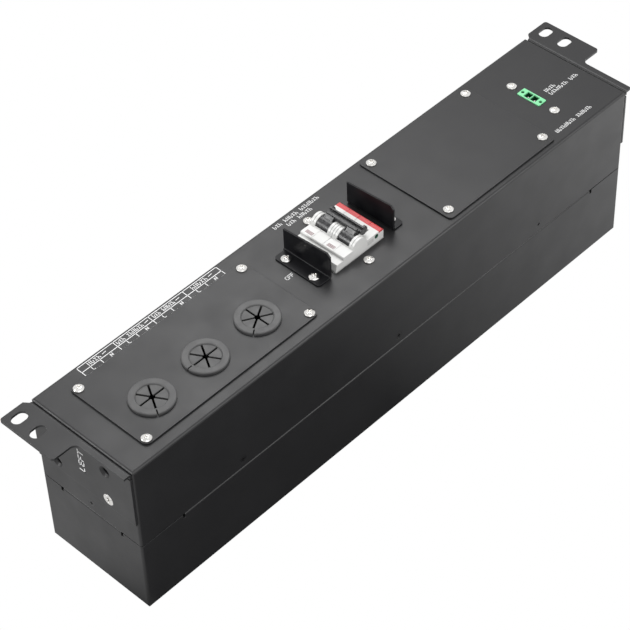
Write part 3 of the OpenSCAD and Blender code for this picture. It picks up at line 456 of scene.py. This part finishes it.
def terminal_table():
    """Four headed columns with two terminals each, above the cable plate."""
    left, right = plate_low.x / MM + 14.4, plate_high.x / MM - 13.1
    top, middle, bottom = (case_high.y / MM - down for down in (2.3, 6.9, 10.5))
    column = (right - left) / 4
    heading = (top + middle) / 2
    lettering = bottom + 1.5
    # where the heading of each column starts and ends, as shares of the column, and its words
    headings = ((0.24, 0.60, (4,)), (0.05, 0.80, (3, 6)), (0.08, 0.70, (3, 5)), (0.20, 0.66, (5,)))
    outlines = [line(left, top, right, top, RULE), line(left, middle, right, middle, RULE),
                line(left, bottom, right, bottom, FINE_RULE)]
    for k, (start, end, words) in enumerate(headings):
        x = left + k * column
        outlines.append(line(x, top, x, bottom, RULE))
        outlines.append(line(x + column / 2, middle, x + column / 2, bottom, RULE))
        outlines += greeked(x + start * column, x + end * column, heading, words)
        outlines.append(line(x + (end + 0.04) * column, heading,
                             x + (end + 0.14) * column, heading + 0.3, MARK_STROKE))
        for letter, share in (("L", 0.23), ("N", 0.735)):
            outlines += written(letter, x + share * column, lettering, 2.3, MARK_STROKE)
    outlines.append(line(right, top, right, bottom, RULE))
    printed("print_terminals", outlines, white_ink, ON_PANEL)


def panel_marks():
    """Function labels beside the breaker, the socket and the switch cover."""
    nose_x, back_y = NOSE_LEFT / MM, case_high.y / MM
    cover_x, cover_y = cover_high.x / MM, cover_low.y / MM
    socket_x, socket_y = socket_high.x / MM, (socket_low.y + socket_high.y) / 2 / MM
    labels = {
        "print_breaker": greeked(nose_x + 2.9, nose_x + 42.3, back_y - 4.7, (3, 5, 7))
                         + greeked(nose_x + 10.9, nose_x + 32, back_y - 8.8, (3, 5)),
        "print_off": written("OFF", guard_low.x / MM - 7.6, 0.8, 2.6, MARK_STROKE, 2.15),
        "print_cover": greeked(cover_x + 6, cover_x + 40.3, cover_y + 4.4, (8, 6)),
        "print_socket": greeked(socket_x + 7, socket_x + 16.5, socket_y - 2.5, (4,))
                        + greeked(socket_x + 7, socket_x + 34.5, socket_y - 6.5, (7, 3)),
    }
    for name, outlines in labels.items():
        printed(name, outlines, white_ink, ON_PANEL)


def side_mark():
    """The mark on the left leg. It reads upwards, with the tops of its letters to the back."""
    cap, stroke, pitch = 4.2, 0.75, 4.4
    start = Vector((case_low.x - EAR_SHEET, 0.1 * MM, panel_z - 28.3 * MM))
    onto_leg = Matrix(((0, 0, -1, 0), (0, 1, 0, 0), (1, 0, 0, 0), (0, 0, 0, 1)))
    printed("print_side", written("LEFT", 0, 0, cap, stroke, pitch), white_ink,
            Matrix.Translation(start) @ onto_leg)


# ---- breaker detail ----------------------------------------------------------------------

def breaker_marks():
    """Printed marks on the front of the poles, and the marks and window on the near side."""
    on_nose = Matrix.Translation((0, 0, NOSE_TOP))
    for k, low in enumerate((-7.6, 10.3)):
        bars = [line(x, low, x, low + 5.2, 0.55) for x in (-19.2, -18.3, -17.4)]
        printed(f"print_pole_{k + 1}", bars, dull_red_ink, on_nose)
    near_side = Matrix(((1, 0, 0, 0), (0, 0, -1, breaker_near), (0, 1, 0, panel_z), (0, 0, 0, 1)))
    stripes = [line(0.2, h, 5.2, h, 0.35) for h in (2.8, 3.8, 4.8)]
    printed("print_near_side", stripes, grey_ink, near_side)
    x, h, radius, corners = 8, 4.7, 1.5, 32
    turns = [math.tau * k / corners for k in range(corners)]
    window = [(x + radius * math.cos(turn), h + radius * math.sin(turn)) for turn in turns]
    printed("status_window", [window], window_glass, near_side)


def painted_cheek_groove_shade():
    """Painted shade in the grooves round the cheeks beside the toggles, as thin dark bands."""
    radius, half_width, height = 6.13 * MM, 0.16 * MM, 0.05 * MM
    first, step, count = -60, 10, 13             # degrees from upright
    section = ((radius, -half_width), (radius, half_width),
               (radius - height, half_width), (radius - height, -half_width))
    middle = (breaker_near + breaker_far) / 2
    cheek = 1.9 * MM                             # from a side or the middle to the next groove
    mesh = bmesh.new()
    for y in (breaker_near + cheek, middle - cheek, middle, middle + cheek, breaker_far - cheek):
        centre = Vector((TOGGLE_X, y, TOGGLE_Z))
        last = None
        for k in range(count):
            angle = math.radians(first + k * step)
            out = Vector((math.sin(angle), 0, math.cos(angle)))
            ring = [mesh.verts.new(centre + out * r + Vector((0, d, 0))) for r, d in section]
            if last is None:
                mesh.faces.new(ring[::-1])
            else:
                for i in range(4):
                    j = (i + 1) % 4
                    mesh.faces.new((last[i], last[j], ring[j], ring[i]))
            last = ring
        mesh.faces.new(last)
    add_piece("painted_cheek_groove_shade", mesh, groove_shadow, "case")


terminal_table()
panel_marks()
side_mark()
breaker_marks()
painted_cheek_groove_shade()

# the wires inside, closed along their seams and rounded
for name in ("power_wires", "earth_wire"):
    weld = nodes[name].modifiers.new("weld", "WELD")
    weld.merge_threshold = 0.01 * MM
    smooth = nodes[name].modifiers.new("round", "SUBSURF")
    smooth.levels = smooth.render_levels = 1


# ---- studio ------------------------------------------------------------------------------

FLOOR_HALF = 6.0                         # metres
FLOOR_DROP = 0.2 * MM                    # keeps the floor clear of the underside
FLOOR_SEEN = 1.0                         # brightness that the camera sees
FLOOR_GLOW = 0.8                         # brightness that the object mirrors
STRIP_GLOW = (0.085, 1.72)               # the same in a strip in front, from left to right
STRIP_RISE = (0.0, 0.38)                 # where the strip goes from the one to the other, along X
STRIP_BACK = (0.03, -0.03)               # back edge of the strip, which fades in along Y
STRIP_LEFT = (-0.25, -0.21)              # left edge of the strip, which fades in along X


def studio_floor():
    """White floor, plain to the camera and not plain to what mirrors it.

    The camera sees one brightness, with no shadow. All other rays meet FLOOR_GLOW, and in front
    of the object a strip that brightens along it, which gives the long side its fade. The
    Principled shader that comes with Surface isn't joined to the output here.
    """
    mesh = bmesh.new()
    mesh.faces.new([mesh.verts.new((x * FLOOR_HALF, y * FLOOR_HALF, 0))
                    for x, y in ((-1, -1), (1, -1), (1, 1), (-1, 1))])
    data = bpy.data.meshes.new("floor")
    mesh.to_mesh(data)
    mesh.free()
    floor = bpy.data.objects.new("floor", data)
    floor.location.z = -FLOOR_DROP
    scene.collection.objects.link(floor)
    made = Surface("floor_white", (0.9, 0.9, 0.9), 0.9)
    seen = made.node("ShaderNodeEmission")
    seen.inputs["Strength"].default_value = FLOOR_SEEN
    mirrored = made.node("ShaderNodeEmission")
    place = made.axes()
    strip = made.spread(place["X"], *STRIP_RISE, *STRIP_GLOW)
    in_front = made.spread(place["Y"], *STRIP_BACK)
    right_of_edge = made.spread(place["X"], *STRIP_LEFT)
    mix = made.node("ShaderNodeMix", data_type="FLOAT")
    made.join(made.times(in_front, right_of_edge), mix.inputs["Factor"])
    mix.inputs["A"].default_value = FLOOR_GLOW
    made.join(strip, mix.inputs["B"])
    made.join(mix.outputs["Result"], mirrored.inputs["Strength"])
    path = made.node("ShaderNodeLightPath")
    choice = made.node("ShaderNodeMixShader")
    made.join(path.outputs["Is Camera Ray"], choice.inputs["Fac"])
    made.join(mirrored.outputs["Emission"], choice.inputs[1])
    made.join(seen.outputs["Emission"], choice.inputs[2])
    output = made.tree.nodes["Material Output"]
    made.join(choice.outputs["Shader"], output.inputs["Surface"])
    data.materials.append(made.material)


def soft_light(name, place, aim, side, power):
    """A square light at place that faces aim, in metres and watts."""
    light = bpy.data.lights.new(name, "AREA")
    light.shape = "RECTANGLE"
    light.size = light.size_y = side
    light.energy = power
    lamp = bpy.data.objects.new(name, light)
    lamp.location = place
    lamp.rotation_euler = (Vector(aim) - Vector(place)).to_track_quat("-Z", "Y").to_euler()
    scene.collection.objects.link(lamp)


def studio_world(strength):
    """White light from all round."""
    world = bpy.data.worlds.new("studio")
    world.use_nodes = True
    background = world.node_tree.nodes["Background"]
    background.inputs["Color"].default_value = (1, 1, 1, 1)
    background.inputs["Strength"].default_value = strength
    scene.world = world


def studio_camera():
    """Camera at the viewing angle of the picture, a long lens from the front left."""
    azimuth, elevation, roll = (math.radians(a) for a in (-44.665, 45.242, -2.474))
    back = Vector((math.sin(azimuth) * math.cos(elevation),
                   -math.cos(azimuth) * math.cos(elevation),
                   math.sin(elevation)))
    place = Matrix.Translation((-0.72666, -0.70537, 1.07365))
    data = bpy.data.cameras.new("camera")
    data.lens = 130.81
    data.sensor_width = 36
    data.clip_start, data.clip_end = 0.1, 30
    camera = bpy.data.objects.new("camera", data)
    turn = back.to_track_quat("Z", "Y").to_matrix() @ Matrix.Rotation(roll, 3, "Z")
    camera.matrix_world = place @ turn.to_4x4()
    scene.collection.objects.link(camera)
    scene.camera = camera


studio_floor()
studio_world(0.92)
soft_light("glow", (0.30, 0.36, 0.85), (-0.16, -0.08, 0.12), 0.42, 3.2)
soft_light("key", (-0.55, -0.9, 1.3), (0, 0, 0.1), 1.0, 7)
soft_light("left_rim", (-1.1, 0.72, 0.80), (-0.2, 0, 0.08), 0.5, 9)
soft_light("front_rim", (0.75, -1.1, 0.80), (0.05, 0, 0.08), 0.5, 7)
studio_camera()
scene.view_settings.view_transform = "Standard"
scene.view_settings.look = "None"
